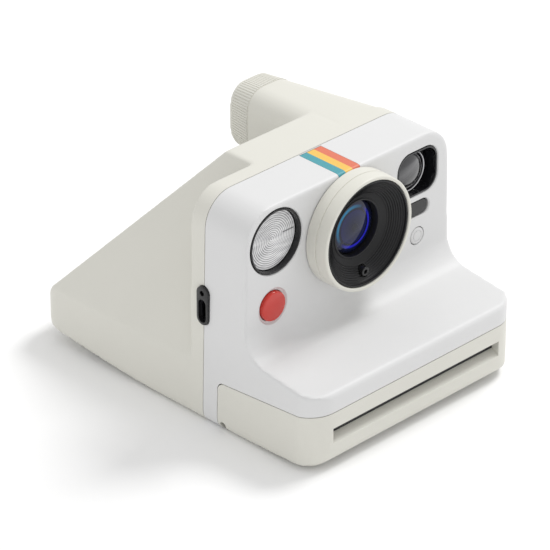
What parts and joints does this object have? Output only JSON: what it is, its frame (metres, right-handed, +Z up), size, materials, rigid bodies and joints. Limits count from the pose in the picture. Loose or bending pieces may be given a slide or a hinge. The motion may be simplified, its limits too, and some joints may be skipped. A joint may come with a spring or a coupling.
{
  "type": "instant camera",
  "caption": "Box-shaped instant film camera with a stepped front, round lens ring, flash, drop-down film door and a square viewfinder tube at the back.",
  "frame": {"origin": "on the standing surface, under the middle of the body's length and width", "axes": "+Z up; the lens looks along -Y; +X is on the viewfinder side, to the right when the camera is seen from the front"},
  "size_m": [0.1122, 0.15, 0.0952],
  "materials": {
    "shell_white": "fine moulded satin",
    "shell_cream": "fine moulded satin",
    "black_plastic": "satin moulded",
    "gloss_black": "polished",
    "red_plastic": "glossy",
    "band_print": "printed stripes",
    "lens_glass": "coated and polished",
    "clear_plastic": "clear moulded",
    "button_plastic": "satin moulded",
    "steel": "plain",
    "brass": "machined",
    "mirror_surface": "silvered",
    "circuit_board": "solder mask",
    "gear_plastic": "natural acetal",
    "battery_wrap": "shrink wrap"
  },
  "bodies": {
    "camera_body": {"front_shell": "shell_white", "rear_shell": "shell_cream", "hinge_pin_right": "steel", "hinge_pin_left": "steel", "base_screw_1": "steel", "base_screw_2": "steel", "base_screw_3": "steel", "base_screw_4": "steel", "colour_band": "band_print", "lens_ring": "shell_cream", "lens_cone": "black_plastic", "light_sensor": "gloss_black", "front_lens": "lens_glass", "lens_barrel": "black_plastic", "lens_plate": "steel", "shutter_plate": "black_plastic", "flash_ring": "black_plastic", "flash_window": "clear_plastic", "flash_reflector": "mirror_surface", "flash_tube": "lens_glass", "flash_capacitor": "battery_wrap", "shutter_switch": "gloss_black", "timer_switch": "gloss_black", "finder_frame": "gloss_black", "finder_objective": "lens_glass", "sensor_window": "gloss_black", "finder_tunnel": "black_plastic", "eyepiece": "lens_glass", "port_plate": "black_plastic", "usb_socket": "steel", "charge_led": "clear_plastic", "switch_board": "circuit_board", "counter_display": "gloss_black", "film_chamber": "black_plastic", "mirror_box": "black_plastic", "mirror": "mirror_surface", "main_board": "circuit_board", "battery_cell": "battery_wrap", "gear_carrier": "steel", "drive_motor": "steel"},
    "film_door": {"film_door": "shell_cream", "roller_frame": "steel"},
    "upper_roller": {"upper_roller": "steel", "upper_roller_gear": "gear_plastic"},
    "lower_roller": {"lower_roller": "steel", "lower_roller_gear": "gear_plastic"},
    "drive_gear": {"drive_gear": "gear_plastic"},
    "middle_gear": {"middle_gear": "gear_plastic"},
    "motor_pinion": {"motor_pinion": "brass"},
    "shutter_button": {"shutter_button": "red_plastic"},
    "timer_button": {"timer_button": "shell_white"},
    "power_button": {"power_button": "button_plastic"},
    "flash_mode_button": {"flash_mode_button": "button_plastic"},
    "shutter_blade_right": {"shutter_blade_right": "steel"},
    "shutter_blade_left": {"shutter_blade_left": "steel"},
    "focus_disc": {"focus_disc": "black_plastic", "far_lens": "lens_glass", "near_lens": "lens_glass"},
    "pick_arm": {"pick_arm": "steel"},
    "door_latch": {"door_latch": "shell_cream"}
  },
  "joints": [
    {"name": "film_door_hinge", "type": "hinge", "parent": "camera_body", "child": "film_door", "pos_m": [0, -0.0275, 0.0029], "axis": [1, 0, 0], "range_deg": [0, 85]},
    {"name": "door_latch_slide", "type": "slide", "parent": "camera_body", "child": "door_latch", "axis": [0, 1, 0], "range_m": [0, 0.003], "stiffness_N_per_m": 300, "springref_m": -0.001},
    {"name": "shutter_press", "type": "slide", "parent": "camera_body", "child": "shutter_button", "axis": [0, 1, 0], "range_m": [0, 0.0008], "stiffness_N_per_m": 1500, "springref_m": -0.0003},
    {"name": "timer_press", "type": "slide", "parent": "camera_body", "child": "timer_button", "axis": [0, 1, 0], "range_m": [0, 0.0008], "stiffness_N_per_m": 1200, "springref_m": -0.0003},
    {"name": "power_press", "type": "slide", "parent": "camera_body", "child": "power_button", "axis": [0, -0.7439, -0.6683], "range_m": [0, 0.0008], "stiffness_N_per_m": 1200, "springref_m": -0.0003},
    {"name": "flash_mode_press", "type": "slide", "parent": "camera_body", "child": "flash_mode_button", "axis": [0, -0.7439, -0.6683], "range_m": [0, 0.0008], "stiffness_N_per_m": 1200, "springref_m": -0.0003},
    {"name": "shutter_right_open", "type": "hinge", "parent": "camera_body", "child": "shutter_blade_right", "pos_m": [-0.008, -0.027, 0.0826], "axis": [0, 1, 0], "range_deg": [0, 40], "stiffness_Nm_per_rad": 0.0006},
    {"name": "shutter_left_open", "type": "hinge", "parent": "camera_body", "child": "shutter_blade_left", "pos_m": [0.008, -0.0262, 0.0826], "axis": [0, 1, 0], "range_deg": [-40, 0], "stiffness_Nm_per_rad": 0.0006},
    {"name": "focus_turn", "type": "hinge", "parent": "camera_body", "child": "focus_disc", "pos_m": [0, -0.0245, 0.0621], "axis": [0, 1, 0], "range_deg": [0, 120]},
    {"name": "upper_roller_spin", "type": "hinge", "parent": "film_door", "child": "upper_roller", "pos_m": [0, -0.0581, 0.02165], "axis": [1, 0, 0], "continuous": true},
    {"name": "lower_roller_spin", "type": "hinge", "parent": "film_door", "child": "lower_roller", "pos_m": [0, -0.0581, 0.01435], "axis": [1, 0, 0], "continuous": true},
    {"name": "drive_gear_spin", "type": "hinge", "parent": "camera_body", "child": "drive_gear", "pos_m": [0.05, -0.05042, 0.02608], "axis": [1, 0, 0], "continuous": true},
    {"name": "middle_gear_spin", "type": "hinge", "parent": "camera_body", "child": "middle_gear", "pos_m": [0.05, -0.04233, 0.02969], "axis": [1, 0, 0], "continuous": true},
    {"name": "motor_spin", "type": "hinge", "parent": "camera_body", "child": "motor_pinion", "pos_m": [0.05, -0.03691, 0.03281], "axis": [1, 0, 0], "continuous": true},
    {"name": "pick_arm_slide", "type": "slide", "parent": "camera_body", "child": "pick_arm", "axis": [0, -1, 0], "range_m": [0, 0.008]}
  ],
  "couplings": [
    {"joint": "shutter_left_open", "follows": "shutter_right_open", "ratio": -1},
    {"joint": "lower_roller_spin", "follows": "upper_roller_spin", "ratio": -1},
    {"joint": "drive_gear_spin", "follows": "upper_roller_spin", "ratio": -0.7},
    {"joint": "middle_gear_spin", "follows": "upper_roller_spin", "ratio": 1},
    {"joint": "motor_spin", "follows": "upper_roller_spin", "ratio": -1.4}
  ]
}
